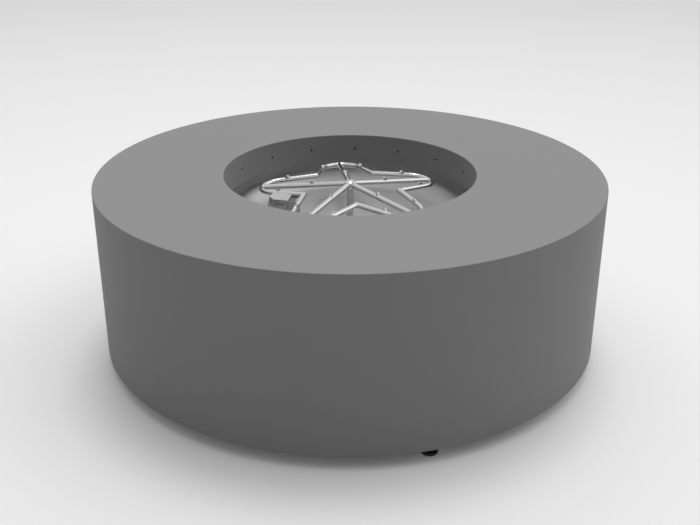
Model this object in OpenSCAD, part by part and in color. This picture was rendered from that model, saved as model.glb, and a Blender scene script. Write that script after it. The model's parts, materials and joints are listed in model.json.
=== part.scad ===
/* [Body] */
// Outside diameter of the round table
body_d = 1219; // [1000:1:1500]
// Height of the table from the lower edge of its skirt to the top
body_h = 406; // [340:1:600]
// Diameter of the fire opening
opening_d = 610; // [540:1:700]
// Thickness of the skirt
skirt_t = 25; // [20:1:32]
// Thickness of the table top
slab_t = 28; // [22:1:30]
// Thickness of the collar that hangs round the opening
collar_t = 25; // [22:1:32]
// Depth of the collar below the top
collar_h = 76; // [60:1:100]
// Radius of the fillets under the table top
slab_fillet_r = 6; // [3:0.5:6]
// Radius of the eased edges that show
edge_r = 1.5; // [0.5:0.25:3]

/* [Vents] */
// Number of vent holes through the collar
vent_count = 16; // [8:1:20]
// Diameter of a vent hole
vent_d = 6; // [4:0.5:8]
// Depth of the vent holes below the top
vent_drop = 38; // [38:1:45]
// Angle of the first vent hole
vent_angle = 20; // [0:1:22]

/* [Feet] */
// Number of levelling feet
foot_count = 4; // [4:1:4]
// Angle of the foot beside the front
foot_angle = 287; // [280:1:295]
// Gap between the floor and the skirt
foot_gap = 32; // [32:1:45]
// Distance from the inner face of the skirt to the axis of a foot
foot_inset = 17; // [15:0.5:24]
// Diameter of a foot pad
pad_d = 37; // [32:1:45]
// Thickness of the pad's disc above its sole
pad_t = 5; // [4:0.5:7]
// Thickness of the pad's rubber sole
sole_t = 2; // [1:0.5:3]
// Height of the pad's socket above its disc
socket_h = 5; // [4:0.5:6]
// Diameter of the foot's threaded stud
stud_d = 10; // [8:0.5:12]
// Pitch of the stud's thread
stud_pitch = 1.5; // [1:0.25:2]
// Width of the stud's hexagon across its flats
stud_af = 14; // [13:0.5:17]
// Height of the stud's hexagon
stud_hex_h = 6; // [4:0.5:7]
// Distance by which a foot winds down
foot_travel = 20; // [10:1:25]
// Width of a foot bracket
bracket_w = 70; // [60:1:90]
// Height of a foot bracket
bracket_h = 80; // [60:1:100]
// Depth of a foot bracket's shelf
bracket_depth = 42; // [38:1:55]
// Thickness of the bracket plate
bracket_t = 4; // [3:0.5:6]
// Width of the weld nut across its flats
weld_nut_af = 17; // [17:0.5:20]
// Height of the weld nut
weld_nut_h = 9; // [7:0.5:12]

/* [Bowl] */
// Depth of the bowl pan below the collar
pan_h = 60; // [54:1:80]
// Thickness of the pan's sheet
pan_t = 1.5; // [1:0.1:2.5]
// Inner radius of the pan's rounded corner
pan_corner_r = 50; // [30:1:56]
// Number of bolts in the pan's flange
pan_bolt_count = 8; // [6:1:12]
// Diameter of the flange bolts
pan_bolt_d = 6; // [5:0.5:8]
// Angle of the first flange bolt
pan_bolt_angle = 10; // [0:1:20]
// Outside diameter of the threaded inserts in the collar
insert_d = 10; // [9:0.5:12]
// Length of the threaded inserts
insert_h = 16; // [12:1:20]
// Diameter of the pan's drain holes
drain_d = 8; // [5:0.5:12]
// Distance of the drain holes from the middle
drain_r = 205; // [150:1:215]

/* [Burner] */
// Number of points of the star
star_points = 5; // [5:1:5]
// Angle of the first point
star_angle = 25.5; // [20:0.1:30]
// Distance from the middle to the burner tube's centre line at a point
star_r = 222; // [200:1:235]
// Distance from the middle to the corner between two points
notch_r = 122.9; // [110:0.1:130]
// Centre line radius of the bend at a point
bend_r = 49.5; // [44:0.1:54]
// Outside diameter of the burner tube
tube_d = 13.7; // [12:0.1:15]
// Wall of the burner tube
tube_t = 1.5; // [1:0.1:2.5]
// Angle by which each point droops
star_droop = 6; // [3:0.1:7]
// Depth of the hub's tube centre below the table top
hub_drop = 33.5; // [30:0.5:38]
// Width of the hub across its corners
hub_d = 28; // [26:0.5:34]
// Height of the hub above its tube centre
hub_top_h = 8; // [7.5:0.1:9]
// Height of the hub below its tube centre
hub_base_h = 11; // [9:0.5:14]
// Outside diameter of a jet
jet_d = 8.4; // [7:0.1:9]
// Bore of a jet
jet_bore_d = 3; // [2:0.1:4]
// Length of a jet outside the burner tube
jet_len = 7; // [5:0.5:9]
// Angle by which a jet leans towards the middle
jet_lean = 42; // [30:1:50]
// Distance of a leg's jet from the start of the bend
leg_jet_back = 11; // [10:0.5:30]
// Distance of a spoke's jet from the middle
spoke_jet_r = 102; // [80:1:115]

/* [Igniter] */
// Width of the igniter housing at its top
igniter_w = 70; // [62:1:74]
// Depth of the igniter housing at its end beside the star
igniter_depth = 36.5; // [32:0.5:40]
// Height of the igniter housing
igniter_h = 52; // [40:1:60]
// Depth of the igniter's top plate below the table top
igniter_drop = 45; // [40:0.5:48]
// Thickness of the igniter's sheet
igniter_t = 1.5; // [1:0.1:2]
// Width of the igniter's slotted end
igniter_vent_w = 21; // [18:1:28]
// Width of the bevelled corner at the igniter's nose
nose_w = 15.5; // [10:0.5:20]
// Number of fins in the slotted end
fin_count = 5; // [3:1:6]
// Diameter of the holes in the igniter's faces
igniter_hole_d = 4; // [3:0.5:5]
// Distance between the holes in the igniter's faces
igniter_hole_step = 7.5; // [6:0.5:9]

/* [Gas] */
// Outside diameter of the riser and supply pipes
pipe_d = 17.1; // [15:0.1:18]
// Bore of the riser and supply pipes
pipe_bore_d = 12.5; // [8:0.1:13]
// Width of the pipe nuts across their flats
pipe_nut_af = 27; // [25:1:32]
// Thickness of the pipe nuts
pipe_nut_h = 7; // [5:0.5:9]
// Height of the gas train's centre line above the floor
train_z = 226; // [205:1:228]
// Centre line radius of the elbow under the riser
elbow_r = 18; // [16:0.5:20]
// Distance from the riser to the middle of the solenoid valve
solenoid_x = 105; // [95:1:130]
// Length of the solenoid valve's body
solenoid_w = 52; // [44:1:60]
// Height of the solenoid valve's body
solenoid_h = 30; // [28:1:36]
// Diameter of the solenoid's coil
coil_d = 30; // [24:1:34]
// Height of the solenoid's coil
coil_h = 34; // [28:1:38]
// Outside diameter of the gas hose
hose_d = 16; // [13:0.5:18]
// Bore of the gas hose
hose_bore_d = 10; // [8:0.5:11]
// Bend radius of the gas hose's centre line
hose_bend_r = 60; // [45:1:66]
// Distance from the skirt's inner face to the shut-off valve's axis
valve_inset = 60; // [45:1:80]
// Height of the shut-off valve's stem above the floor
valve_z = 112; // [105:1:116]
// Diameter of the shut-off valve's ball
ball_d = 20; // [18:0.5:22]
// Bore of the shut-off valve's ball
ball_bore_d = 12; // [8:0.5:13]
// Outside diameter of the shut-off valve's body
valve_d = 32; // [30:0.5:36]
// Length of the shut-off valve's body
valve_len = 56; // [50:1:60]
// Diameter of the valve stem
stem_d = 8; // [6:0.5:9]
// Distance from the valve's axis to its lever
stem_reach = 32; // [30:1:40]
// Length of the lever from its pivot
lever_len = 72; // [55:1:80]
// Width of the lever
lever_w = 13; // [11:0.5:16]
// Thickness of the lever
lever_t = 3; // [2:0.5:4]
// Radius of the gas inlet's threaded hole
inlet_r = 9.4; // [8:0.1:10]
// Length of the gas inlet's threaded hole
inlet_len = 15; // [12:0.5:18]
// Running clearance of the turning pieces
run_gap = 0.06; // [0.03:0.01:0.08]

/* [Controls] */
// Length of the control box
box_w = 150; // [130:1:170]
// Depth of the control box
box_depth = 86; // [70:1:90]
// Height of the control box
box_h = 62; // [50:1:70]
// Wall of the control box
box_t = 2.5; // [2:0.1:4]
// Gap between the pan and the control box
box_drop = 38; // [30:1:50]
// Distance of the control box's middle in front of the riser
box_y = 76; // [74:1:90]
// Distance of the control box's middle to the left of the riser
box_x = 40; // [30:1:50]
// Diameter of the igniter's cable sleeve
sleeve_d = 12; // [9:0.5:14]

/* [Hidden] */
over = 1;
$fn = 48;

// Heights above the floor
skirt_z = foot_gap;
top_z = foot_gap + body_h;
slab_z = top_z - slab_t;
collar_z = top_z - collar_h;
pan_z = collar_z - pan_h;
pan_under_z = pan_z - pan_t;
hub_z = top_z - hub_drop;

// Radii from the middle
body_r = body_d / 2;
skirt_in_r = body_r - skirt_t;
open_r = opening_d / 2;
collar_r = open_r + collar_t;
foot_r = skirt_in_r - foot_inset;

// Clearances round bolts, pipes and sleeves
hole_gap = 0.5;
seat_gap = 0.3;
butt_gap = 0.02;
weld_gap = 0.1;
bolt_end_gap = 1;

// Pan and its bolts
pan_flange_w = collar_t - 2 * edge_r;
pan_floor_r = open_r - pan_corner_r;
pan_bolt_r = open_r + collar_t / 2;
pan_bolt_head_h = 5;
pan_bolt_head_af = 10;
drain_turns = [240, 270, 300];

// Foot brackets and the anchors in the skirt
anchor_d = 10;
anchor_h = 14;
anchor_bolt_d = 6;
anchor_head_h = 5;
anchor_head_af = 10;
bolt_spread_share = 0.5;
bracket_bolt_turn = asin(bolt_spread_share * bracket_w / 2 / skirt_in_r);
bracket_bolt_z = skirt_z + bracket_h - anchor_head_af;
bracket_rib_y = bracket_w / 2 - bracket_t / 2;
rib_share = 0.5;
rib_heel_x = foot_inset - bracket_t / 2;
rib_toe_x = foot_inset + bracket_t - bracket_depth;
rib_h = rib_share * bracket_h;

// Feet
pad_floor_t = 2;
pad_fillet_r = 2;
socket_wall = 4;
socket_d = stud_d + 2 * socket_wall;
stud_z = sole_t + pad_floor_t;
stud_hex_z = sole_t + pad_t + socket_h + seat_gap;
stud_top_z = skirt_z + bracket_t + weld_nut_h + foot_travel + stud_pitch;

// Star: the bend's middle, the tangent leg and the angle that the bend sweeps on each side
star_pitch = 360 / star_points;
bend_x = star_r - bend_r;
notch_x = notch_r * cos(star_pitch / 2);
notch_y = notch_r * sin(star_pitch / 2);
notch_span = norm([notch_x - bend_x, notch_y]);
leg_len = sqrt(notch_span * notch_span - bend_r * bend_r);
bend_half = atan2(notch_y, notch_x - bend_x) - acos(bend_r / notch_span);
hub_chamfer = 2.5;
riser_socket_h = 7;

// Igniter, which stands in the notch between the third and fourth points, beside both tubes
notch_turn = star_angle + 2.5 * star_pitch;
igniter_turn = star_angle + 3 * star_pitch - bend_half - 180;
igniter_skew = star_pitch + 90 - 2 * bend_half;
igniter_gap = 1;
igniter_set_back = (tube_d / 2 + igniter_gap) * (1 / cos(igniter_skew) - tan(igniter_skew));
igniter_x = notch_r * cos(notch_turn)
    - (tube_d / 2 + igniter_gap + igniter_w / 2) * cos(igniter_turn)
    + (igniter_set_back + igniter_depth / 2) * sin(igniter_turn);
igniter_y = notch_r * sin(notch_turn)
    - (tube_d / 2 + igniter_gap + igniter_w / 2) * sin(igniter_turn)
    - (igniter_set_back + igniter_depth / 2) * cos(igniter_turn);
igniter_top_z = top_z - igniter_drop;
igniter_z = igniter_top_z - igniter_h;
vent_x = igniter_w / 2 - igniter_vent_w;
bevel_turn = atan2(igniter_depth / 2, nose_w);
flare_w = 10;
flare_share = 0.33;
lip_h = 2.5;
flange_w = 4;
hole_drop = 11.5;
slot_w = 10;
slot_h = 7.5;
slot_drop = 17.5;
fin_t = 1.2;
fin_h = 8;
fin_depth_share = 0.62;
leg_w = 36;
leg_foot_w = 12;
sensor_d = 3;
pilot_x_share = 0.25;
pilot_y_share = 0.25;
pilot_tube_d = 6;
hood_h = 6;
insulator_d = 8;
insulator_h = 12;

// Gas train
nut_washer_d = 36;
nut_washer_t = 1.5;
elbow_wall = 3.5;
elbow_collar_h = 14;
elbow_socket_h = 11;
elbow_lip = 1;
elbow_collar_d = pipe_d + 2 * (elbow_wall + elbow_lip);
valve_x = skirt_in_r - valve_inset;
fitting_h = 14;
fitting_af = 22;
ferrule_wall = 1.5;
ferrule_d = hose_d + 2 * ferrule_wall;
ferrule_h = 9;
solenoid_end_h = 9;
hose_start_x = solenoid_x + solenoid_w / 2 + solenoid_end_h + fitting_h;
hose_end_z = valve_z + valve_len / 2 + fitting_h;
valve_end_h = 12;
valve_neck_d = 18;
valve_neck_len = 25;
lever_x = valve_x - stem_reach;
grip_t = 2;
grip_share = 0.6;
shelf_t = bracket_t;
valve_plate_w = 64;
valve_plate_h = 50;
shelf_z = valve_z - valve_len / 2 - shelf_t;
inlet_h = 24;
inlet_spigot_d = 18;
valve_bolt_turn = asin(bolt_spread_share * valve_plate_w / 2 / skirt_in_r);
valve_bolt_z = shelf_z + valve_plate_h - anchor_head_af;

// Control box
box_top_z = pan_under_z - box_drop;
box_z = box_top_z - box_h;
hanger_w = 30;
hanger_t = 2;
hanger_flange = 16;
lid_t = 3;
sleeve_bend_r = 20;
post_d = 9;
post_screw_d = 4;
stem_nut_h = 5;
terminal_w_share = 0.66;
terminal_h_share = 0.5;
screw_head_d = 8;
screw_head_h = 2;
screw_h_share = 0.33;
hanger_low_share = 0.33;
hanger_h = pan_under_z - box_z - hanger_low_share * box_h;

// A straight tube along +Z
module tube(outer_d, inner_d, length) {
    difference() {
        cylinder(d = outer_d, h = length);
        translate([0, 0, -over])
            cylinder(d = inner_d, h = length + 2 * over);
    }
}

// A hexagonal prism measured across its flats
module hexagon(flats, height) {
    cylinder(d = flats / cos(30), h = height, $fn = 6);
}

// The waste outside a rounded corner whose two edges run along +X and +Y
module corner_waste(radius) {
    difference() {
        translate([-over, -over])
            square(radius + over);
        translate([radius, radius])
            circle(radius);
    }
}

// The filling inside a concave corner whose two edges run along +X and +Y
module corner_fill(radius) {
    difference() {
        square(radius);
        translate([radius, radius])
            circle(radius);
    }
}

// Half of the shell's section: skirt, top and collar
module shell_section() {
    difference() {
        union() {
            translate([skirt_in_r, skirt_z])
                square([skirt_t, body_h]);
            translate([open_r, slab_z])
                square([body_r - open_r, slab_t]);
            translate([open_r, collar_z])
                square([collar_t, collar_h]);
            translate([skirt_in_r, slab_z])
                rotate(180)
                    corner_fill(slab_fillet_r);
            translate([collar_r, slab_z])
                rotate(-90)
                    corner_fill(slab_fillet_r);
        }
        translate([body_r, top_z])
            rotate(180)
                corner_waste(edge_r);
        translate([open_r, top_z])
            rotate(-90)
                corner_waste(edge_r);
        translate([body_r, skirt_z])
            rotate(90)
                corner_waste(edge_r);
    }
}

// The cast shell that forms the table, with vents and blind sockets for its inserts and bolts
module concrete_shell() {
    color("dimgray")
        difference() {
            rotate_extrude($fn = 180)
                shell_section();
            for (i = [0 : vent_count - 1])
                rotate(vent_angle + i * 360 / vent_count)
                    translate([open_r - over, 0, top_z - vent_drop])
                        rotate([0, 90, 0])
                            cylinder(d = vent_d, h = collar_t + 2 * over, $fn = 24);
            at_pan_bolts()
                translate([0, 0, collar_z - over])
                    cylinder(d = insert_d + 2 * run_gap, h = insert_h + over, $fn = 24);
            at_skirt_bolts()
                translate([0, 0, -over])
                    cylinder(d = anchor_d + 2 * run_gap, h = anchor_h + over, $fn = 24);
        }
}

// Places a child at each of the pan's flange bolts
module at_pan_bolts() {
    for (i = [0 : pan_bolt_count - 1])
        rotate(pan_bolt_angle + i * 360 / pan_bolt_count)
            translate([pan_bolt_r, 0, 0])
                children();
}

// Places a child at each bolt in the skirt's inner face, with +Z pointing out into the skirt
module at_skirt_bolts() {
    for (i = [1 : foot_count])
        for (side = [-1, 1])
            rotate(foot_turn(i) + side * bracket_bolt_turn)
                translate([skirt_in_r, 0, bracket_bolt_z])
                    rotate([0, 90, 0])
                        children();
    for (side = [-1, 1])
        rotate(side * valve_bolt_turn)
            translate([skirt_in_r, 0, valve_bolt_z])
                rotate([0, 90, 0])
                    children();
}

// The threaded inserts cast into the collar's lower edge
module collar_inserts() {
    color("darkgoldenrod")
        at_pan_bolts()
            translate([0, 0, collar_z])
                tube(insert_d, pan_bolt_d, insert_h, $fn = 24);
}

// The pan's section: flange, wall, rounded corner and floor
module pan_section() {
    translate([open_r, collar_z - pan_t])
        square([pan_flange_w, pan_t]);
    translate([open_r, pan_z + pan_corner_r])
        square([pan_t, pan_h - pan_corner_r]);
    translate([pan_floor_r, pan_z + pan_corner_r])
        intersection() {
            difference() {
                circle(pan_corner_r + pan_t, $fn = 96);
                circle(pan_corner_r, $fn = 96);
            }
            translate([0, -2 * pan_corner_r])
                square(2 * pan_corner_r);
        }
    translate([0, pan_under_z])
        square([pan_floor_r, pan_t]);
}

// The pressed steel pan that hangs under the collar
module bowl_pan() {
    color("silver")
        difference() {
            rotate_extrude($fn = 180)
                pan_section();
            at_pan_bolts()
                translate([0, 0, collar_z - pan_t - over])
                    cylinder(d = pan_bolt_d + 2 * hole_gap, h = pan_t + 2 * over, $fn = 24);
            translate([0, 0, pan_under_z - over])
                cylinder(d = pipe_d + 2 * hole_gap, h = pan_t + 2 * over);
            at_igniter()
                translate([0, 0, pan_under_z - over])
                    cylinder(d = sleeve_d + 2 * hole_gap, h = pan_t + 2 * over, $fn = 24);
            for (turn = drain_turns)
                rotate(turn)
                    translate([drain_r, 0, pan_under_z - over])
                        cylinder(d = drain_d, h = pan_t + 2 * over, $fn = 24);
        }
}

// The bolts that hold the pan's flange up to the inserts
module pan_bolts() {
    color("silver")
        at_pan_bolts() {
            translate([0, 0, collar_z - pan_t - pan_bolt_head_h])
                hexagon(pan_bolt_head_af, pan_bolt_head_h);
            translate([0, 0, collar_z - pan_t])
                cylinder(d = pan_bolt_d - 2 * run_gap, h = pan_t + insert_h - bolt_end_gap, $fn = 24);
        }
}

// Angle of foot i
function foot_turn(i) = foot_angle + (i - 1) * 360 / foot_count;

// One foot's bracket: a plate rolled to the skirt's inner face, with a shelf and its weld nut
module foot_bracket(i) {
    color("slategray")
        rotate(foot_turn(i))
            difference() {
                union() {
                    intersection() {
                        rotate_extrude($fn = 180)
                            union() {
                                translate([skirt_in_r - bracket_t, skirt_z])
                                    square([bracket_t, bracket_h]);
                                translate([skirt_in_r - bracket_depth, skirt_z])
                                    square([bracket_depth, bracket_t]);
                            }
                        translate([0, -bracket_w / 2, 0])
                            cube([body_r, bracket_w, top_z]);
                    }
                    for (side = [-1, 1])
                        translate([foot_r, side * bracket_rib_y, 0])
                            bracket_rib();
                    translate([foot_r, 0, skirt_z + bracket_t])
                        hexagon(weld_nut_af, weld_nut_h);
                }
                translate([foot_r, 0, skirt_z - over])
                    cylinder(d = stud_d + 2 * run_gap, h = bracket_t + weld_nut_h + 2 * over);
                for (side = [-1, 1])
                    rotate(side * bracket_bolt_turn)
                        translate([skirt_in_r - 2 * bracket_t, 0, bracket_bolt_z])
                            rotate([0, 90, 0])
                                cylinder(d = anchor_bolt_d + 2 * hole_gap, h = 4 * bracket_t, $fn = 24);
            }
}

// A bracket's side rib, a triangle that stands on the shelf
module bracket_rib() {
    rotate([90, 0, 0])
        translate([0, 0, -bracket_t / 2])
            linear_extrude(bracket_t)
                polygon([
                    [rib_toe_x, skirt_z + bracket_t],
                    [rib_heel_x, skirt_z + bracket_t],
                    [rib_heel_x, skirt_z + rib_h],
                    [rib_heel_x - bracket_t, skirt_z + rib_h],
                ]);
}

// The bolts that hold the brackets to the skirt, each with its anchor
module bracket_bolts() {
    color("gray")
        at_skirt_bolts() {
            translate([0, 0, -bracket_t - anchor_head_h - run_gap])
                hexagon(anchor_head_af, anchor_head_h);
            translate([0, 0, -bracket_t - run_gap])
                cylinder(d = anchor_bolt_d, h = bracket_t + run_gap, $fn = 24);
            cylinder(d = anchor_d, h = anchor_h, $fn = 24);
        }
}

// Places a child at the axis of foot i
module at_foot(i) {
    rotate(foot_turn(i))
        translate([foot_r, 0, 0])
            children();
}

// One foot's disc, with the socket that the stud turns in
module foot_pad(i) {
    color("black")
        at_foot(i)
            difference() {
                rotate_extrude()
                    difference() {
                        union() {
                            translate([0, sole_t])
                                square([pad_d / 2, pad_t]);
                            translate([0, sole_t])
                                square([socket_d / 2, pad_t + socket_h]);
                            translate([socket_d / 2, sole_t + pad_t])
                                corner_fill(pad_fillet_r);
                        }
                        translate([pad_d / 2, sole_t + pad_t])
                            rotate(180)
                                corner_waste(edge_r);
                    }
                translate([0, 0, stud_z])
                    cylinder(d = stud_d + 2 * run_gap, h = socket_h + pad_t);
            }
}

// The rubber sole under a foot pad
module foot_sole(i) {
    color("dimgray")
        at_foot(i)
            cylinder(d = pad_d - 2 * edge_r, h = sole_t);
}

// One foot's stud, with the hexagon that winds it
module foot_stud(i) {
    color("silver")
        at_foot(i) {
            translate([0, 0, stud_z])
                cylinder(d = stud_d, h = stud_top_z - stud_z);
            translate([0, 0, stud_hex_z])
                hexagon(stud_af, stud_hex_h);
        }
}

// Places a child in the plane of point i, with +X running out along the point
module at_point(i) {
    translate([0, 0, hub_z])
        rotate(star_angle + (i - 1) * star_pitch)
            rotate([0, star_droop, 0])
                children();
}

// The ring of tube round one bend, in the point's plane; a bore of zero leaves it solid
module bend_tube(section_d, section_bore_d) {
    translate([bend_x, 0, 0])
        rotate(-bend_half)
            rotate_extrude(angle = 2 * bend_half, $fn = 96)
                translate([bend_r, 0])
                    difference() {
                        circle(d = section_d, $fn = 32);
                        if (section_bore_d > 0)
                            circle(d = section_bore_d, $fn = 32);
                    }
}

// Places a child at the start of a point's leg, with +Z running towards the notch
module at_leg(side) {
    translate([bend_x + bend_r * cos(bend_half), side * bend_r * sin(bend_half), 0])
        rotate(side * (bend_half + 90))
            rotate([0, 90, 0])
                children();
}

// One point of the star: a bend with a straight leg butted to each end, mitred at the notches
module star_loop(i) {
    color("lightgray") {
        at_point(i)
            bend_tube(tube_d, tube_d - 2 * tube_t);
        difference() {
            at_point(i)
                for (side = [-1, 1])
                    at_leg(side)
                        translate([0, 0, butt_gap])
                            tube(tube_d, tube_d - 2 * tube_t, leg_len + tube_d, $fn = 32);
            for (side = [-1, 1])
                rotate(star_angle + (i - 1) * star_pitch + side * star_pitch / 2)
                    translate([0, side * star_r, hub_z])
                        cube(2 * star_r, center = true);
        }
    }
}

// One spoke from the hub to the inside of a point's bend
module burner_spoke(i) {
    color("lightgray")
        difference() {
            at_point(i)
                rotate([0, 90, 0])
                    rotate(90)
                        tube(tube_d, tube_d - 2 * tube_t, star_r, $fn = 32);
            at_point(i)
                bend_tube(tube_d + 2 * weld_gap, 0);
            hub_block();
        }
}

// The hub's faceted block with its top edge chamfered
module hub_block() {
    translate([0, 0, hub_z - hub_base_h])
        intersection() {
            rotate(star_angle - star_pitch / 4)
                cylinder(d = hub_d, h = hub_base_h + hub_top_h, $fn = 2 * star_points);
            rotate_extrude()
                polygon([
                    [0, 0],
                    [hub_d, 0],
                    [hub_d, hub_base_h + hub_top_h - hub_d / 4 - hub_chamfer],
                    [hub_d / 2 - 2 * hub_chamfer, hub_base_h + hub_top_h],
                    [0, hub_base_h + hub_top_h],
                ]);
        }
}

// The hub that feeds the five spokes and screws onto the riser
module burner_hub() {
    color("silver")
        difference() {
            hub_block();
            translate([0, 0, hub_z - hub_base_h - over])
                cylinder(d = pipe_d + 2 * run_gap, h = riser_socket_h + over);
        }
}

// One jet: a short open tube that leans, with +Z up and its foot on the tube's centre line
module jet() {
    difference() {
        rotate([0, -jet_lean, 0])
            tube(jet_d, jet_bore_d, tube_d / 2 + jet_len, $fn = 24);
        translate([0, 0, -jet_d])
            cylinder(d = 2 * jet_d, h = jet_d, $fn = 24);
    }
}

// The jets welded to the legs, one near the start of each bend
module loop_jets() {
    color("lightgray")
        for (i = [1 : star_points])
            at_point(i)
                for (side = [-1, 1])
                    difference() {
                        leg_jet(side);
                        at_leg(side)
                            cylinder(d = tube_d, h = leg_len, $fn = 32);
                    }
}

// Where a leg's jet stands, as a place in the point's plane
function leg_jet_place(side) = [
    bend_x + bend_r * cos(bend_half) - leg_jet_back * sin(bend_half),
    side * (bend_r * sin(bend_half) + leg_jet_back * cos(bend_half)),
    0,
];

// One leg's jet, leaning towards the middle of the star
module leg_jet(side) {
    place = leg_jet_place(side);
    translate(place)
        rotate(atan2(place[1], place[0]))
            jet();
}

// The jets welded to the spokes
module spoke_jets() {
    color("lightgray")
        for (i = [1 : star_points])
            at_point(i)
                difference() {
                    translate([spoke_jet_r, 0, 0])
                        jet();
                    rotate([0, 90, 0])
                        cylinder(d = tube_d, h = star_r, $fn = 32);
                }
}

// Places a child at the middle of the igniter, with +X towards the star's leg
module at_igniter() {
    translate([igniter_x, igniter_y, 0])
        rotate(igniter_turn)
            children();
}

// The igniter's outline seen from above, shrunk by an inset: its left end is bevelled in front
// and its back follows the star's tube
module igniter_plan(inset) {
    right = igniter_w / 2 - inset;
    left = -igniter_w / 2 - flare_w + inset;
    half = igniter_depth / 2 - inset;
    skew_y = (right - left) * tan(igniter_skew);
    polygon([
        [right, -half],
        [right, half],
        [left, half + skew_y],
        [left, -half + (nose_w + flare_w) * tan(bevel_turn)],
        [left + nose_w + flare_w, -half],
    ]);
}

// The igniter's outline seen from the front: its left end flares out towards the bottom
module igniter_front(inset) {
    right = igniter_w / 2 - inset;
    left = -igniter_w / 2 + inset;
    polygon([
        [left, igniter_top_z],
        [right, igniter_top_z],
        [right, igniter_z],
        [left - flare_w, igniter_z],
        [left - flare_w, igniter_z + flare_share * igniter_h],
    ]);
}

// The solid inside the igniter's outlines
module igniter_solid(inset) {
    intersection() {
        translate([0, 0, igniter_z])
            linear_extrude(igniter_h)
                igniter_plan(inset);
        rotate([90, 0, 0])
            translate([0, 0, -igniter_depth])
                linear_extrude(2 * igniter_depth)
                    igniter_front(inset);
    }
}

// The igniter's sheet metal housing, open on top, with holes and slots in its faces
module igniter_housing() {
    color("silver")
        at_igniter()
            difference() {
                union() {
                    igniter_solid(0);
                    translate([vent_x - igniter_t, -igniter_depth / 2 - flange_w, igniter_z])
                        cube([igniter_t, flange_w + igniter_t, igniter_h - lip_h]);
                }
                intersection() {
                    igniter_solid(igniter_t);
                    translate([-body_r, -body_r, igniter_z + igniter_t])
                        cube([body_d, body_d, igniter_h]);
                }
                translate([-igniter_w, -igniter_w, igniter_top_z - igniter_t])
                    cube([2 * igniter_w, 2 * igniter_w, 2 * igniter_t]);
                igniter_face_holes();
                translate([0, 0, igniter_z - over])
                    cylinder(d = sleeve_d + 2 * hole_gap, h = igniter_t + 2 * over, $fn = 24);
            }
}

// The holes through the igniter's front and bevelled faces, and the slots at its right
module igniter_face_holes() {
    for (k = [0 : 2])
        front_hole(k, igniter_top_z - hole_drop);
    front_hole(0, igniter_top_z - hole_drop + igniter_hole_step);
    translate([vent_x, -igniter_depth, igniter_top_z - lip_h])
        cube([igniter_vent_w - igniter_t, igniter_depth, lip_h]);
    translate([
        igniter_w / 2 - igniter_t - slot_w,
        -igniter_depth,
        igniter_top_z - slot_drop - slot_h,
    ])
        cube([slot_w, igniter_depth, slot_h]);
    translate([(nose_w - igniter_w) / 2, -igniter_depth / 4, igniter_top_z - hole_drop])
        rotate(-bevel_turn)
            for (k = [-1 : 1])
                for (level = [0, 1])
                    translate([
                        k * igniter_hole_step,
                        0,
                        (level - 1 / 2) * igniter_hole_step - level * igniter_t,
                    ])
                        rotate([90, 0, 0])
                            cylinder(d = igniter_hole_d, h = igniter_w, center = true, $fn = 24);
}

// One hole through the front face, k steps from the first
module front_hole(k, z) {
    translate([vent_x - igniter_vent_w / 2 + (k - 2) * igniter_hole_step, -igniter_depth, z])
        rotate([-90, 0, 0])
            cylinder(d = igniter_hole_d, h = igniter_depth, $fn = 24);
}

// The plain plate over the igniter's left part
module igniter_cover() {
    color("gainsboro")
        at_igniter()
            difference() {
                intersection() {
                    igniter_solid(0);
                    translate([-igniter_w, -igniter_w, igniter_top_z - igniter_t])
                        cube([igniter_w + vent_x, 2 * igniter_w, igniter_t]);
                }
                for (side = [-1, 1])
                    translate([0, side * pilot_y_share * igniter_depth, igniter_top_z - 2 * igniter_t])
                        cylinder(d = igniter_hole_d, h = 3 * igniter_t, $fn = 24);
            }
}

// The fins that shield the igniter's open end
module igniter_fins() {
    color("lightgray")
        at_igniter() {
            for (k = [0 : fin_count - 1])
                translate([fin_x(k), -igniter_depth / 2 + igniter_t, igniter_top_z - igniter_t - fin_h])
                    cube([fin_t, fin_depth_share * igniter_depth, fin_h]);
            translate([
                fin_x(fin_count - 1),
                -igniter_depth / 2 + igniter_t + fin_depth_share * igniter_depth,
                igniter_top_z - igniter_t - fin_h,
            ])
                cube([fin_x(0) + fin_t - fin_x(fin_count - 1), fin_t, fin_h]);
        }
}

// Left side of fin k
function fin_x(k) = igniter_w / 2 - igniter_t - fin_t
    - k * (igniter_vent_w - igniter_t - fin_t) / (fin_count - 1);

// The two legs that hold the housing above the pan's floor
module igniter_legs() {
    color("silver")
        at_igniter()
            for (side = [-1, 1])
                scale_side(side) {
                    translate([-leg_w / 2, igniter_depth / 2 - igniter_t, pan_z])
                        cube([leg_w, igniter_t, igniter_z - pan_z]);
                    translate([-leg_w / 2, igniter_depth / 2 - leg_foot_w, pan_z])
                        cube([leg_w, leg_foot_w, igniter_t]);
                    translate([-leg_w / 2, igniter_depth / 2 - leg_foot_w, igniter_z - igniter_t])
                        cube([leg_w, leg_foot_w, igniter_t]);
                }
}

// Mirrors a child across the XZ plane when the side is negative
module scale_side(side) {
    if (side < 0)
        mirror([0, 1, 0])
            children();
    else
        children();
}

// The ceramic igniter blade in its holder, under the fins
module hot_surface_igniter() {
    color("white")
        at_igniter()
            translate([igniter_w / 2 - igniter_vent_w / 2, 0, igniter_z + igniter_t]) {
                translate([-insulator_d / 2, -insulator_d, 0])
                    cube([insulator_d, 2 * insulator_d, insulator_h]);
                translate([-fin_t, -insulator_d / 2, insulator_h])
                    cube([2 * fin_t, insulator_d, insulator_h]);
            }
}

// The flame sensor's rod in its insulator
module flame_sensor() {
    color("whitesmoke")
        at_igniter()
            translate([-pilot_x_share * igniter_w, pilot_y_share * igniter_depth, igniter_z + igniter_t]) {
                cylinder(d = insulator_d, h = insulator_h, $fn = 24);
                translate([0, 0, insulator_h])
                    cylinder(d = sensor_d, h = insulator_h, $fn = 24);
            }
}

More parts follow.
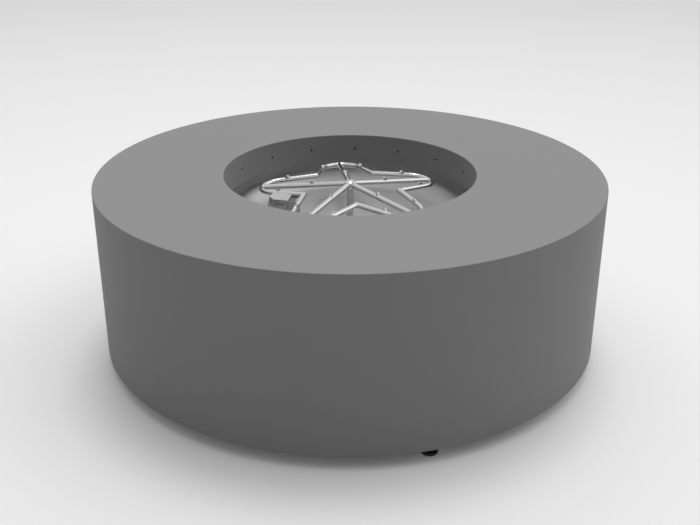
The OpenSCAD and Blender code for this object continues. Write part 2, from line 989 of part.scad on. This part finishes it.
// The pilot's gas tube, which ends in a wider hood
module pilot_tube() {
    color("goldenrod")
        at_igniter()
            translate([-pilot_x_share * igniter_w, -pilot_y_share * igniter_depth, igniter_z + igniter_t])
                difference() {
                    union() {
                        cylinder(d = pilot_tube_d, h = 2 * insulator_h, $fn = 24);
                        translate([0, 0, 2 * insulator_h])
                            cylinder(d = insulator_d, h = hood_h, $fn = 24);
                    }
                    translate([0, 0, insulator_h])
                        cylinder(d = sensor_d, h = 2 * insulator_h, $fn = 24);
                }
}

// The sleeved cable from the igniter down through the pan and across to the control box
module igniter_cable() {
    sleeve_z = box_z + box_h / 2;
    turn_x = igniter_x + sleeve_bend_r;
    color("dimgray") {
        translate([igniter_x, igniter_y, sleeve_z + sleeve_bend_r])
            cylinder(d = sleeve_d, h = igniter_z + igniter_t - sleeve_z - sleeve_bend_r, $fn = 24);
        translate([turn_x, igniter_y, sleeve_z + sleeve_bend_r])
            rotate([90, 0, 0])
                rotate(180)
                    rotate_extrude(angle = 90)
                        translate([sleeve_bend_r, 0])
                            circle(d = sleeve_d, $fn = 24);
        translate([turn_x, igniter_y, sleeve_z])
            rotate([0, 90, 0])
                cylinder(d = sleeve_d, h = -box_x - box_w / 2 - turn_x, $fn = 24);
    }
}

// The riser that carries gas through the pan and up into the hub
module riser_pipe() {
    bottom = train_z + elbow_r + elbow_collar_h - elbow_socket_h;
    color("silver")
        translate([0, 0, bottom])
            tube(pipe_d, pipe_bore_d, hub_z - hub_base_h + riser_socket_h - bottom);
}

// The nuts that clamp the riser to the pan, one above and one below the floor
module riser_nuts() {
    color("silver")
        difference() {
            union() {
                translate([0, 0, pan_z])
                    cylinder(d = nut_washer_d, h = nut_washer_t);
                translate([0, 0, pan_z + nut_washer_t])
                    hexagon(pipe_nut_af, pipe_nut_h);
                translate([0, 0, pan_under_z - nut_washer_t])
                    cylinder(d = nut_washer_d, h = nut_washer_t);
                translate([0, 0, pan_under_z - nut_washer_t - pipe_nut_h])
                    hexagon(pipe_nut_af, pipe_nut_h);
            }
            translate([0, 0, pan_under_z - nut_washer_t - pipe_nut_h - over])
                cylinder(
                    d = pipe_d + 2 * run_gap,
                    h = pan_t + 2 * (nut_washer_t + pipe_nut_h + over)
                );
        }
}

// The elbow that turns the riser into the level gas train
module riser_elbow() {
    color("darkgoldenrod")
        difference() {
            union() {
                elbow_sweep(pipe_d + 2 * elbow_wall);
                translate([0, 0, train_z + elbow_r])
                    cylinder(d = elbow_collar_d, h = elbow_collar_h);
                translate([elbow_r, 0, train_z])
                    rotate([0, 90, 0])
                        cylinder(d = elbow_collar_d, h = elbow_collar_h);
            }
            elbow_sweep(pipe_bore_d);
            translate([0, 0, train_z + elbow_r])
                cylinder(d = pipe_bore_d, h = elbow_collar_h + over);
            translate([0, 0, train_z + elbow_r + elbow_collar_h - elbow_socket_h])
                cylinder(d = pipe_d + 2 * run_gap, h = elbow_socket_h + over);
            translate([elbow_r, 0, train_z])
                rotate([0, 90, 0])
                    cylinder(d = pipe_bore_d, h = elbow_collar_h + over);
            translate([elbow_r + elbow_collar_h - elbow_socket_h, 0, train_z])
                rotate([0, 90, 0])
                    cylinder(d = pipe_d + 2 * run_gap, h = elbow_socket_h + over);
        }
}

// A quarter bend from straight down to level along +X
module elbow_sweep(section_d) {
    translate([elbow_r, 0, train_z + elbow_r])
        rotate([90, 0, 0])
            rotate(180)
                rotate_extrude(angle = 90)
                    translate([elbow_r, 0])
                        circle(d = section_d);
}

// The short pipe between the elbow and the solenoid valve
module train_pipe() {
    start = elbow_r + elbow_collar_h - elbow_socket_h;
    color("silver")
        translate([start, 0, train_z])
            rotate([0, 90, 0])
                tube(pipe_d, pipe_bore_d, solenoid_x - solenoid_w / 2 - solenoid_end_h - start);
}

// The solenoid valve's body, with a hexagon at each port
module solenoid_body() {
    color("goldenrod")
        difference() {
            union() {
                translate([solenoid_x - solenoid_w / 2, -solenoid_h / 2, train_z - solenoid_h / 2])
                    cube([solenoid_w, solenoid_h, solenoid_h]);
                for (side = [-1, 1])
                    translate([
                        solenoid_x + side * (solenoid_w + solenoid_end_h) / 2 - solenoid_end_h / 2,
                        0,
                        train_z,
                    ])
                        rotate([0, 90, 0])
                            hexagon(pipe_nut_af, solenoid_end_h);
            }
            translate([solenoid_x - solenoid_w / 2 - solenoid_end_h - over, 0, train_z])
                rotate([0, 90, 0])
                    cylinder(d = hose_bore_d, h = solenoid_w + 2 * solenoid_end_h + 2 * over);
        }
}

// The solenoid's coil, with its terminal block
module solenoid_coil() {
    color("black")
        translate([solenoid_x, 0, train_z + solenoid_h / 2]) {
            cylinder(d = coil_d, h = coil_h);
            translate([0, -terminal_w_share * coil_d / 2, (1 - terminal_h_share) * coil_h / 2])
                cube([coil_d, terminal_w_share * coil_d, terminal_h_share * coil_h]);
        }
}

// The braided gas hose: level from the solenoid valve, then down to the shut-off valve
module gas_hose() {
    bend_start_x = valve_x - hose_bend_r;
    bend_end_z = train_z - hose_bend_r;
    color("lightgray")
        difference() {
            hose_run(hose_d, bend_start_x, bend_end_z, 0);
            hose_run(hose_bore_d, bend_start_x, bend_end_z, over);
        }
}

// The solid along the hose's route, run on past both ends by a margin
module hose_run(section_d, bend_start_x, bend_end_z, margin) {
    translate([hose_start_x - margin, 0, train_z])
        rotate([0, 90, 0])
            cylinder(d = section_d, h = bend_start_x - hose_start_x + margin);
    translate([bend_start_x, 0, bend_end_z])
        rotate([90, 0, 0])
            rotate_extrude(angle = 90)
                translate([hose_bend_r, 0])
                    circle(d = section_d);
    translate([valve_x, 0, hose_end_z - margin])
        cylinder(d = section_d, h = bend_end_z - hose_end_z + margin);
}

// The nuts and crimped ferrules at the hose's ends
module hose_fittings() {
    color("goldenrod") {
        translate([hose_start_x - fitting_h, 0, train_z])
            rotate([0, 90, 0])
                hose_fitting();
        translate([valve_x, 0, hose_end_z - fitting_h])
            hose_fitting();
    }
}

// One hose fitting along +Z: a hexagon nut and the ferrule round the hose's end
module hose_fitting() {
    difference() {
        union() {
            hexagon(fitting_af, fitting_h);
            cylinder(d = ferrule_d, h = fitting_h + ferrule_h);
        }
        translate([0, 0, -over])
            cylinder(d = hose_bore_d, h = fitting_h + 2 * over);
        translate([0, 0, fitting_h])
            cylinder(d = hose_d + 2 * run_gap, h = ferrule_h + over);
    }
}

// Places a child at the shut-off valve's stem, with +Z along the pipe
module at_valve() {
    translate([valve_x, 0, valve_z])
        children();
}

// The shut-off valve's body, hollow round its ball
module valve_body() {
    color("goldenrod")
        at_valve()
            difference() {
                union() {
                    cylinder(d = valve_d, h = valve_len - 2 * valve_end_h, center = true);
                    for (side = [-1, 1])
                        translate([0, 0, side * (valve_len - valve_end_h) / 2 - valve_end_h / 2])
                            hexagon(pipe_nut_af, valve_end_h);
                    rotate([0, -90, 0])
                        cylinder(d = valve_neck_d, h = valve_neck_len);
                }
                sphere(d = ball_d + 2 * run_gap, $fn = 64);
                cylinder(d = ball_bore_d, h = valve_len + 2 * over, center = true);
                rotate([0, -90, 0])
                    cylinder(d = stem_d + 2 * run_gap, h = valve_neck_len + over);
            }
}

// The ball, turned across the pipe so that the valve is shut
module valve_ball() {
    color("silver")
        at_valve()
            rotate([90, 0, 0])
                rotate_extrude($fn = 64)
                    intersection() {
                        circle(d = ball_d);
                        translate([ball_bore_d / 2, -ball_d])
                            square(2 * ball_d);
                    }
}

// The stem that turns the ball, with the nut that holds the lever
module valve_stem() {
    color("silver")
        at_valve()
            rotate([0, -90, 0]) {
                difference() {
                    cylinder(d = stem_d, h = stem_reach + lever_t / 2);
                    sphere(d = ball_d, $fn = 64);
                }
                translate([0, 0, stem_reach + lever_t / 2])
                    hexagon(lever_w, stem_nut_h);
            }
}

// The lever with its dipped grip, level when the valve is shut
module valve_lever() {
    color("firebrick")
        translate([lever_x, 0, valve_z])
            rotate([0, -90, 0])
                difference() {
                    union() {
                        translate([0, 0, -lever_t / 2])
                            lever_bar(lever_w, 0, lever_len, lever_t);
                        translate([0, 0, -lever_t / 2 - grip_t])
                            lever_bar(
                                lever_w + 2 * grip_t,
                                lever_len * (1 - grip_share),
                                lever_len,
                                lever_t + 2 * grip_t
                            );
                    }
                    cylinder(d = stem_d + 2 * run_gap, h = 2 * lever_t, center = true, $fn = 32);
                }
}

// A bar with round ends along +Y
module lever_bar(width, start, end, thickness) {
    for (place = [start, end])
        translate([0, place, 0])
            cylinder(d = width, h = thickness, $fn = 32);
    translate([-width / 2, start, 0])
        cube([width, end - start, thickness]);
}

// The valve's bracket: a plate rolled to the skirt, with a shelf that the valve stands on
module valve_bracket() {
    color("slategray")
        difference() {
            union() {
                intersection() {
                    rotate_extrude($fn = 180)
                        translate([skirt_in_r - shelf_t, shelf_z])
                            square([shelf_t, valve_plate_h]);
                    translate([0, -valve_plate_w / 2, 0])
                        cube([body_r, valve_plate_w, top_z]);
                }
                translate([valve_x - valve_d / 2, -valve_plate_w / 2, shelf_z])
                    cube([skirt_in_r - valve_x + valve_d / 2 - shelf_t / 2, valve_plate_w, shelf_t]);
            }
            translate([valve_x, 0, shelf_z - over])
                cylinder(d = inlet_spigot_d + 2 * hole_gap, h = shelf_t + 2 * over);
            for (side = [-1, 1])
                rotate(side * valve_bolt_turn)
                    translate([skirt_in_r - 2 * shelf_t, 0, valve_bolt_z])
                        rotate([0, 90, 0])
                            cylinder(d = anchor_bolt_d + 2 * hole_gap, h = 4 * shelf_t, $fn = 24);
        }
}

// The gas inlet: a threaded port that clamps the valve to its shelf from below
module gas_inlet() {
    color("goldenrod")
        translate([valve_x, 0, shelf_z - inlet_h])
            difference() {
                union() {
                    hexagon(pipe_nut_af, inlet_h);
                    translate([0, 0, inlet_h])
                        cylinder(d = inlet_spigot_d, h = shelf_t);
                }
                translate([0, 0, -over])
                    cylinder(r = inlet_r, h = inlet_len + over);
                cylinder(d = ball_bore_d, h = inlet_h + shelf_t + over);
            }
}

// Places a child at the middle of the control box's underside
module at_box() {
    translate([-box_x, -box_y, box_z])
        children();
}

// The control box: a shell open underneath, with a screw post in each corner
module control_box() {
    color("dimgray")
        at_box()
            difference() {
                union() {
                    difference() {
                        translate([-box_w / 2, -box_depth / 2, 0])
                            cube([box_w, box_depth, box_h]);
                        translate([-box_w / 2 + box_t, -box_depth / 2 + box_t, -over])
                            cube([box_w - 2 * box_t, box_depth - 2 * box_t, box_h - box_t + over]);
                    }
                    at_box_posts()
                        cylinder(d = post_d, h = box_h - box_t / 2, $fn = 24);
                }
                at_box_posts()
                    translate([0, 0, -over])
                        cylinder(d = post_screw_d, h = screw_h_share * box_h, $fn = 24);
            }
}

// Places a child at each corner post of the control box
module at_box_posts() {
    for (x = [-1, 1])
        for (y = [-1, 1])
            translate([
                x * (box_w / 2 - box_t - post_d / 2 + hole_gap),
                y * (box_depth / 2 - box_t - post_d / 2 + hole_gap),
                0,
            ])
                children();
}

// The lid that closes the control box from below, with its four screws' heads
module control_lid() {
    color("gray")
        at_box() {
            difference() {
                translate([-box_w / 2, -box_depth / 2, -lid_t])
                    cube([box_w, box_depth, lid_t]);
                at_box_posts()
                    translate([0, 0, -lid_t - over])
                        cylinder(d = post_screw_d, h = lid_t + 2 * over, $fn = 24);
            }
            at_box_posts() {
                translate([0, 0, -lid_t])
                    cylinder(
                        d = post_screw_d - 2 * run_gap,
                        h = lid_t + screw_h_share * box_h - over - bolt_end_gap,
                        $fn = 24
                    );
                translate([0, 0, -lid_t - screw_head_h])
                    cylinder(d = screw_head_d, h = screw_head_h, $fn = 24);
            }
        }
}

// The two hangers welded under the pan, which carry the control box by its long sides
module box_hangers() {
    color("slategray")
        at_box()
            for (side = [-1, 1])
                scale_side(side)
                    translate([-hanger_w / 2, box_depth / 2, hanger_low_share * box_h]) {
                        cube([hanger_w, hanger_t, hanger_h]);
                        translate([0, 0, hanger_h - hanger_t])
                            cube([hanger_w, hanger_flange, hanger_t]);
                    }
}

concrete_shell();
collar_inserts();
bowl_pan();
pan_bolts();
bracket_bolts();
for (i = [1 : foot_count]) {
    foot_bracket(i);
    foot_pad(i);
    foot_sole(i);
    foot_stud(i);
}
burner_hub();
loop_jets();
spoke_jets();
for (i = [1 : star_points]) {
    burner_spoke(i);
    star_loop(i);
}
igniter_housing();
igniter_cover();
igniter_fins();
igniter_legs();
hot_surface_igniter();
flame_sensor();
pilot_tube();
igniter_cable();
riser_pipe();
riser_nuts();
riser_elbow();
train_pipe();
solenoid_body();
solenoid_coil();
gas_hose();
hose_fittings();
valve_body();
valve_ball();
valve_stem();
valve_lever();
valve_bracket();
gas_inlet();
control_box();
control_lid();
box_hangers();
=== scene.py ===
import json
import math

import bpy
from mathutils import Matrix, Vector


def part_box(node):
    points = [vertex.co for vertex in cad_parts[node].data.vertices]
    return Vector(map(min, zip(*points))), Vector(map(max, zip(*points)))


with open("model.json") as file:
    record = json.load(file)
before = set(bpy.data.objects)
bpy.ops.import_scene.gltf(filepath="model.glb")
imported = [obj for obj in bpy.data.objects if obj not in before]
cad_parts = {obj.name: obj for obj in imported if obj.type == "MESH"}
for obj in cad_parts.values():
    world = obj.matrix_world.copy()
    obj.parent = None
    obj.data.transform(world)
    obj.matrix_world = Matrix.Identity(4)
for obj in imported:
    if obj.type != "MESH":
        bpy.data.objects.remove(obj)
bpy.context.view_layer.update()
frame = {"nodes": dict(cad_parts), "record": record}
record = frame["record"]
nodes = frame["nodes"]
MM = 0.001

# Sizes that the frame gives, in metres
top_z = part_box("concrete_shell")[1].z
pan_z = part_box("bowl_pan")[0].z


# Colour and node helpers


def srgb(code):
    """Turns an sRGB hex colour into the linear values that Blender's sockets take."""
    parts = [int(code[k : k + 2], 16) / 255 for k in (1, 3, 5)]
    linear = [c / 12.92 if c <= 0.04045 else ((c + 0.055) / 1.055) ** 2.4 for c in parts]
    return (*linear, 1.0)


def add_node(tree, kind, settings=None, **inputs):
    """Adds a node, sets its properties, and fills or links the inputs that are named."""
    node = tree.nodes.new(kind)
    for name, value in (settings or {}).items():
        setattr(node, name, value)
    for name, value in inputs.items():
        socket = node.inputs[int(name[1:])] if name[1:].isdigit() else node.inputs[name.replace("_", " ")]
        if isinstance(value, bpy.types.NodeSocket):
            tree.links.new(value, socket)
        else:
            socket.default_value = value
    return node


def new_material(name):
    """Starts a node material and returns it with its tree and its output."""
    material = bpy.data.materials.new(name)
    material.use_nodes = True
    tree = material.node_tree
    tree.nodes.clear()
    output = add_node(tree, "ShaderNodeOutputMaterial")
    return material, tree, output


def finish_material(tree, output, shader):
    """Links the finished shader to the material's output."""
    tree.links.new(shader.outputs["BSDF"], output.inputs["Surface"])


def seen_rays(tree):
    """1 for the rays that show the studio: from the camera, off metal and through glass."""
    path = add_node(tree, "ShaderNodeLightPath")
    direct = add_node(
        tree, "ShaderNodeMath", {"operation": "ADD"},
        _0=path.outputs["Is Camera Ray"], _1=path.outputs["Is Glossy Ray"],
    )
    both = add_node(
        tree, "ShaderNodeMath", {"operation": "ADD", "use_clamp": True},
        _0=direct.outputs["Value"], _1=path.outputs["Is Transmission Ray"],
    )
    return both.outputs["Value"]


# Materials


def cast_concrete():
    """Cast concrete, steel-trowelled and sealed: matt grey, with faint clouds and a fine sandy grain."""
    # The sand's grain is under 1 mm and is drawn 3 mm coarse, so that it shows at all
    material, tree, output = new_material("cast_concrete")
    place = add_node(tree, "ShaderNodeTexCoord").outputs["Object"]
    clouds = add_node(
        tree, "ShaderNodeTexNoise", Vector=place, Scale=1 / (90 * MM), Detail=4.0, Roughness=0.55,
    )
    grain = add_node(tree, "ShaderNodeTexNoise", Vector=place, Scale=1 / (3 * MM), Detail=3.0, Roughness=0.6)
    tone = add_node(
        tree, "ShaderNodeMapRange", Value=clouds.outputs["Fac"],
        From_Min=0.3, From_Max=0.7, To_Min=0.0, To_Max=1.0,
    )
    colour = add_node(
        tree, "ShaderNodeMix", {"data_type": "RGBA"},
        _0=tone.outputs["Result"], _6=srgb(CONCRETE_DARK), _7=srgb(CONCRETE_LIGHT),
    )
    roughness = add_node(
        tree, "ShaderNodeMapRange", Value=clouds.outputs["Fac"],
        From_Min=0.3, From_Max=0.7, To_Min=0.62, To_Max=0.74,
    )
    bump = add_node(
        tree, "ShaderNodeBump", Height=grain.outputs["Fac"], Strength=0.12, Distance=0.15 * MM,
    )
    shader = add_node(
        tree, "ShaderNodeBsdfPrincipled", Base_Color=colour.outputs[2],
        Roughness=roughness.outputs["Result"], Normal=bump.outputs["Normal"],
    )
    shader.inputs["Specular IOR Level"].default_value = 0.3
    finish_material(tree, output, shader)
    return material


def bare_metal(name, code, roughness, grain_mm, grain_share=0.06, bump=0.0):
    """Bare or plated metal: its grain varies the roughness, so that reflections are a little uneven."""
    material, tree, output = new_material(name)
    place = add_node(tree, "ShaderNodeTexCoord").outputs["Object"]
    grain = add_node(
        tree, "ShaderNodeTexNoise", Vector=place, Scale=1 / (grain_mm * MM), Detail=3.0, Roughness=0.6,
    )
    varied = add_node(
        tree, "ShaderNodeMapRange", Value=grain.outputs["Fac"], From_Min=0.25, From_Max=0.75,
        To_Min=roughness - grain_share, To_Max=roughness + grain_share,
    )
    shader = add_node(
        tree, "ShaderNodeBsdfPrincipled", Base_Color=srgb(code), Metallic=1.0,
        Roughness=varied.outputs["Result"],
    )
    if bump > 0:
        relief = add_node(
            tree, "ShaderNodeBump", Height=grain.outputs["Fac"], Strength=bump, Distance=0.05 * MM,
        )
        tree.links.new(relief.outputs["Normal"], shader.inputs["Normal"])
    finish_material(tree, output, shader)
    return material


def pressed_pan():
    """Brushed stainless sheet: it mirrors softly, as if pressed slightly hollow, and its wall is painted
    darker as shade.
    """
    # The brushing runs in rings; its lines are far finer than 1 mm and are drawn 4 mm wide, so that they show
    material, tree, output = new_material("brushed_stainless_sheet")
    place = add_node(tree, "ShaderNodeTexCoord").outputs["Object"]
    split = add_node(tree, "ShaderNodeSeparateXYZ", Vector=place)
    level = add_node(tree, "ShaderNodeCombineXYZ", X=split.outputs["X"], Y=split.outputs["Y"])
    out = add_node(tree, "ShaderNodeVectorMath", {"operation": "LENGTH"}, _0=level.outputs["Vector"])
    inward = add_node(
        tree, "ShaderNodeVectorMath", {"operation": "SCALE"}, _0=level.outputs["Vector"], Scale=-PAN_HOLLOW,
    )
    facing = add_node(tree, "ShaderNodeNewGeometry").outputs["Normal"]
    tilted = add_node(
        tree, "ShaderNodeVectorMath", {"operation": "ADD"}, _0=facing, _1=inward.outputs["Vector"],
    )
    dish = add_node(tree, "ShaderNodeVectorMath", {"operation": "NORMALIZE"}, _0=tilted.outputs["Vector"])
    rise = add_node(
        tree, "ShaderNodeMapRange", Value=split.outputs["Z"],
        From_Min=pan_z + PAN_FLOOR_MM * MM, From_Max=pan_z + PAN_WALL_MM * MM, To_Min=0.0, To_Max=1.0,
    )
    # Painted shade: the wall takes a darker colour than the floor, blending in between the two heights
    colour = add_node(
        tree, "ShaderNodeMix", {"data_type": "RGBA"},
        _0=rise.outputs["Result"], _6=srgb(PAN_FLOOR_COLOUR), _7=srgb(PAN_WALL_SHADE_COLOUR),
    )
    rings = add_node(tree, "ShaderNodeTexNoise", {"noise_dimensions": "1D"}, Detail=3.0, Roughness=0.7)
    rings.inputs["Scale"].default_value = 1 / (PAN_RING_MM * MM)
    tree.links.new(out.outputs["Value"], rings.inputs["W"])
    worn = add_node(
        tree, "ShaderNodeMapRange", Value=rise.outputs["Result"],
        To_Min=PAN_FLOOR_ROUGHNESS, To_Max=PAN_WALL_ROUGHNESS,
    )
    varied = add_node(
        tree, "ShaderNodeMapRange", Value=rings.outputs["Fac"], From_Min=0.3, From_Max=0.7,
        To_Min=-0.05, To_Max=0.05,
    )
    roughness = add_node(
        tree, "ShaderNodeMath", {"operation": "ADD"}, _0=worn.outputs["Result"], _1=varied.outputs["Result"],
    )
    shader = add_node(
        tree, "ShaderNodeBsdfPrincipled", Base_Color=colour.outputs[2], Metallic=1.0,
        Roughness=roughness.outputs["Value"], Normal=dish.outputs["Vector"],
    )
    finish_material(tree, output, shader)
    return material


# The pan floor's colour, then the darker colour painted on its wall as shade
PAN_FLOOR_COLOUR = "#bebebe"
PAN_WALL_SHADE_COLOUR = "#969696"
PAN_FLOOR_ROUGHNESS = 0.52
PAN_WALL_ROUGHNESS = 0.24
# The shading's inward tilt for each metre from the axis, then the width of a ring of brushing and
# the heights over the pan's underside between which its floor turns into its wall
PAN_HOLLOW = 0.3
PAN_RING_MM = 4
PAN_FLOOR_MM = 8
PAN_WALL_MM = 48


def moulded(name, code, roughness, grain_mm, bump=0.1):
    """Moulded plastic, rubber or enamel: one colour with a fine grain."""
    material, tree, output = new_material(name)
    place = add_node(tree, "ShaderNodeTexCoord").outputs["Object"]
    grain = add_node(tree, "ShaderNodeTexNoise", Vector=place, Scale=1 / (grain_mm * MM), Detail=2.0)
    varied = add_node(
        tree, "ShaderNodeMapRange", Value=grain.outputs["Fac"], From_Min=0.3, From_Max=0.7,
        To_Min=roughness - 0.05, To_Max=roughness + 0.05,
    )
    relief = add_node(tree, "ShaderNodeBump", Height=grain.outputs["Fac"], Strength=bump, Distance=0.1 * MM)
    shader = add_node(
        tree, "ShaderNodeBsdfPrincipled", Base_Color=srgb(code), Roughness=varied.outputs["Result"],
        Normal=relief.outputs["Normal"],
    )
    finish_material(tree, output, shader)
    return material


CONCRETE_DARK = "#8e8e8e"
CONCRETE_LIGHT = "#919191"


def dress_nodes():
    """Gives every carried-over piece the material of its slot."""
    finishes = {
        "concrete": cast_concrete(),
        # Turned brass: warm yellow with a satin shine
        "brass": bare_metal("machined_brass", "#c9a24e", 0.3, 0.8),
        "brushed_pan": pressed_pan(),
        # Polished tube: a bright streak along each tube, with dark reflections beside it
        "burner_steel": bare_metal("polished_stainless_tube", "#c8c8c8", 0.16, 1.5, 0.03),
        # Satin sheet: flat grey faces that take no sharp reflection
        "igniter_sheet": bare_metal("satin_stainless_sheet", "#bcbcbc", 0.46, 0.6),
        # Unglazed alumina: chalky cream
        "igniter_ceramic": moulded("unglazed_ceramic", "#e6e0d2", 0.7, 0.5),
        # Bright zinc: cold and clean, softly shining
        "plated_steel": bare_metal("zinc_plated_steel", "#cfd0d2", 0.32, 1.2),
        # Hot-dip zinc: dull grey, patchy where its crystals differ, 8 mm apart
        "galvanised_steel": bare_metal("galvanised_steel", "#a9adb0", 0.45, 8.0, 0.1),
        # Moulded nylon: black with a faint sheen
        "black_plastic": moulded("black_nylon", "#121213", 0.38, 0.6),
        # Rubber: black and dead matt
        "rubber": moulded("black_rubber", "#1b1b1b", 0.8, 0.8, 0.2),
        # Woven glass sleeve: dark, rough cloth
        "sleeve_fabric": moulded("woven_glass_sleeve", "#2b2b2b", 0.85, 1.0, 0.5),
        # Stainless braid: silver that glitters; its 0.3 mm wires are drawn 1 mm coarse
        "braided_hose": bare_metal("braided_stainless", "#c4c4c2", 0.4, 1.0, 0.1, bump=0.6),
        # Moulded polyester round the coil: black, half matt
        "coil_plastic": moulded("black_polyester_coil", "#19191a", 0.45, 0.6),
        # Dipped vinyl: glossy red
        "red_grip": moulded("dipped_red_vinyl", "#b3261b", 0.35, 1.5),
        # Powder coat: dark grey with a slight orange peel
        "grey_enamel": moulded("grey_powder_coat", "#4a4a4d", 0.5, 0.7, 0.3),
    }
    slots = {part["node"]: part["material_slot"] for part in record["subparts"]}
    for name, piece in nodes.items():
        piece.data.materials.clear()
        piece.data.materials.append(finishes[slots[name]])


# The studio: lengths in metres, and the camera's pitch in degrees

CAMERA_DISTANCE = 2.24803
CAMERA_ABOVE_TOP = 0.74264
CAMERA_PITCH = 23.6867


def add_camera():
    """A 50 mm lens in front of the table, where the photograph's ellipses put it."""
    data = bpy.data.cameras.new("camera")
    data.lens = 50
    data.sensor_width = 36
    data.clip_start = 0.01
    data.clip_end = 100
    camera = bpy.data.objects.new("camera", data)
    bpy.context.scene.collection.objects.link(camera)
    camera.location = (0, -CAMERA_DISTANCE, top_z + CAMERA_ABOVE_TOP)
    camera.rotation_euler = (math.radians(90 - CAMERA_PITCH), 0, 0)
    bpy.context.scene.camera = camera


def add_floor():
    """Pale studio paper under the table, a little greyer far from it, with a faint painted glow that lightens
    it.
    """
    material, tree, output = new_material("studio_paper")
    place = add_node(tree, "ShaderNodeTexCoord").outputs["Object"]
    out = add_node(tree, "ShaderNodeVectorMath", {"operation": "LENGTH"}, _0=place)
    depth = add_node(
        tree, "ShaderNodeMapRange", Value=out.outputs["Value"],
        From_Min=FLOOR_NEAR, From_Max=FLOOR_FAR, To_Min=0.0, To_Max=1.0,
    )
    pale = add_node(
        tree, "ShaderNodeMix", {"data_type": "RGBA"},
        _0=depth.outputs["Result"], _6=srgb(FLOOR_COLOUR), _7=srgb(FLOOR_FAR_COLOUR),
    )
    seen = seen_rays(tree)
    colour = add_node(
        tree, "ShaderNodeMix", {"data_type": "RGBA"},
        _0=seen, _6=srgb(FLOOR_UNSEEN_COLOUR), _7=pale.outputs[2],
    )
    # Painted light: the floor glows faintly for the rays that see it, which lightens it evenly, the table's
    # shadow included
    glow = add_node(tree, "ShaderNodeMath", {"operation": "MULTIPLY"}, _0=seen, _1=FLOOR_GLOW)
    paint = add_node(
        tree, "ShaderNodeBsdfPrincipled", Base_Color=colour.outputs[2], Roughness=0.9,
        Emission_Color=srgb("#ffffff"), Emission_Strength=glow.outputs["Value"],
    )
    paint.inputs["Specular IOR Level"].default_value = 0.0
    finish_material(tree, output, paint)
    mesh = bpy.data.meshes.new("studio_floor")
    corners = [(x * FLOOR_HALF, y * FLOOR_HALF, 0) for x, y in ((-1, -1), (1, -1), (1, 1), (-1, 1))]
    mesh.from_pydata(corners, [], [(0, 1, 2, 3)])
    floor = bpy.data.objects.new("studio_floor", mesh)
    bpy.context.scene.collection.objects.link(floor)
    mesh.materials.append(material)


FLOOR_COLOUR = "#f0f0f0"
FLOOR_FAR_COLOUR = "#d2d2d2"
FLOOR_UNSEEN_COLOUR = "#cacaca"
# How brightly the floor glows: painted light that lightens the shadow on it
FLOOR_GLOW = 0.07
FLOOR_NEAR = 1.0
FLOOR_FAR = 6.0
FLOOR_HALF = 15.0


def add_sun(name, share, spread, lean_right, lean_back):
    """A broad lamp so far off that it lights the whole floor alike; share is its part of the light."""
    data = bpy.data.lights.new(name, "SUN")
    data.energy = share * math.pi
    data.angle = math.radians(spread)
    lamp = bpy.data.objects.new(name, data)
    bpy.context.scene.collection.objects.link(lamp)
    place = Vector((math.tan(math.radians(lean_right)), math.tan(math.radians(lean_back)), 1.0))
    lamp.location = LAMP_RISE * place
    lamp.rotation_euler = place.to_track_quat("Z", "Y").to_euler()


LAMP_RISE = 4.0


def add_room():
    """A pale room, brightest above and behind the table, and as pale as the far floor where it is seen."""
    world = bpy.data.worlds.new("studio")
    bpy.context.scene.world = world
    world.use_nodes = True
    tree = world.node_tree
    tree.nodes.clear()
    output = add_node(tree, "ShaderNodeOutputWorld")
    side = add_node(tree, "ShaderNodeTexCoord").outputs["Generated"]
    toward = add_node(tree, "ShaderNodeVectorMath", {"operation": "DOT_PRODUCT"}, _0=side, _1=ROOM_AXIS)
    level = add_node(
        tree, "ShaderNodeMapRange", Value=toward.outputs["Value"],
        From_Min=ROOM_DARK_SIDE, From_Max=1.0, To_Min=ROOM_DIM, To_Max=ROOM_BRIGHT,
    )
    seen = seen_rays(tree)
    strength = add_node(tree, "ShaderNodeMix", Factor=seen, A=level.outputs["Result"], B=ROOM_SEEN)
    room = add_node(tree, "ShaderNodeBackground", Color=srgb("#ffffff"), Strength=strength.outputs["Result"])
    tree.links.new(room.outputs["Background"], output.inputs["Surface"])


ROOM_AXIS = (0.08, 0.44, 0.89)
ROOM_DARK_SIDE = -0.2
ROOM_DIM = 0.04
ROOM_BRIGHT = 0.84
ROOM_SEEN = 0.7


# The scene

add_camera()
add_floor()
add_room()
add_sun("overhead_lamp", share=0.21, spread=20, lean_right=3, lean_back=16)
add_sun("overhead_fill", share=0.1, spread=80, lean_right=4, lean_back=30)
add_sun("side_lamp", share=0.13, spread=50, lean_right=48, lean_back=8)
dress_nodes()

bpy.context.scene.view_settings.view_transform = "Standard"
